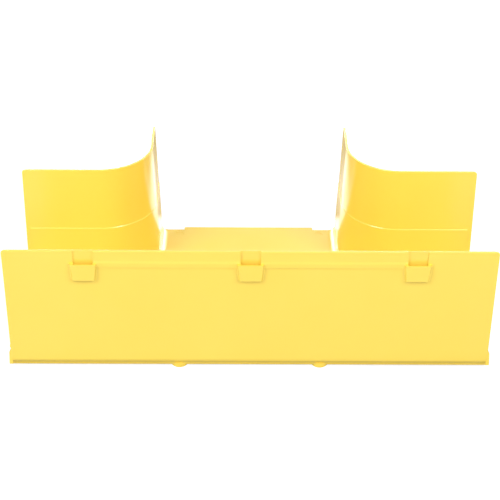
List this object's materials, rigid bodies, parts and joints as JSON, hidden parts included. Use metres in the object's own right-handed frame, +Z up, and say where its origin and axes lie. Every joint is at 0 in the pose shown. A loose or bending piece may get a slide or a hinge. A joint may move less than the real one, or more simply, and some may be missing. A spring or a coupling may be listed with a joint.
{
  "type": "fibre raceway tee fitting",
  "caption": "Moulded open-topped tee for a fibre raceway, with leaning upright walls, curved inner corners, cover latches along its straight wall and tongues at its open ends.",
  "frame": {"origin": "under the middle of the outline, on the surface that the bosses of the base stand on", "axes": "+X along the straight through run, +Y out of the branch, +Z up out of the open top"},
  "size_m": [0.469, 0.2616, 0.1363],
  "materials": {
    "yellow_plastic": "smooth glossy injection-moulded ABS, yellow"
  },
  "bodies": {
    "root": {"tee_fitting": "yellow_plastic"}
  },
  "joints": []
}
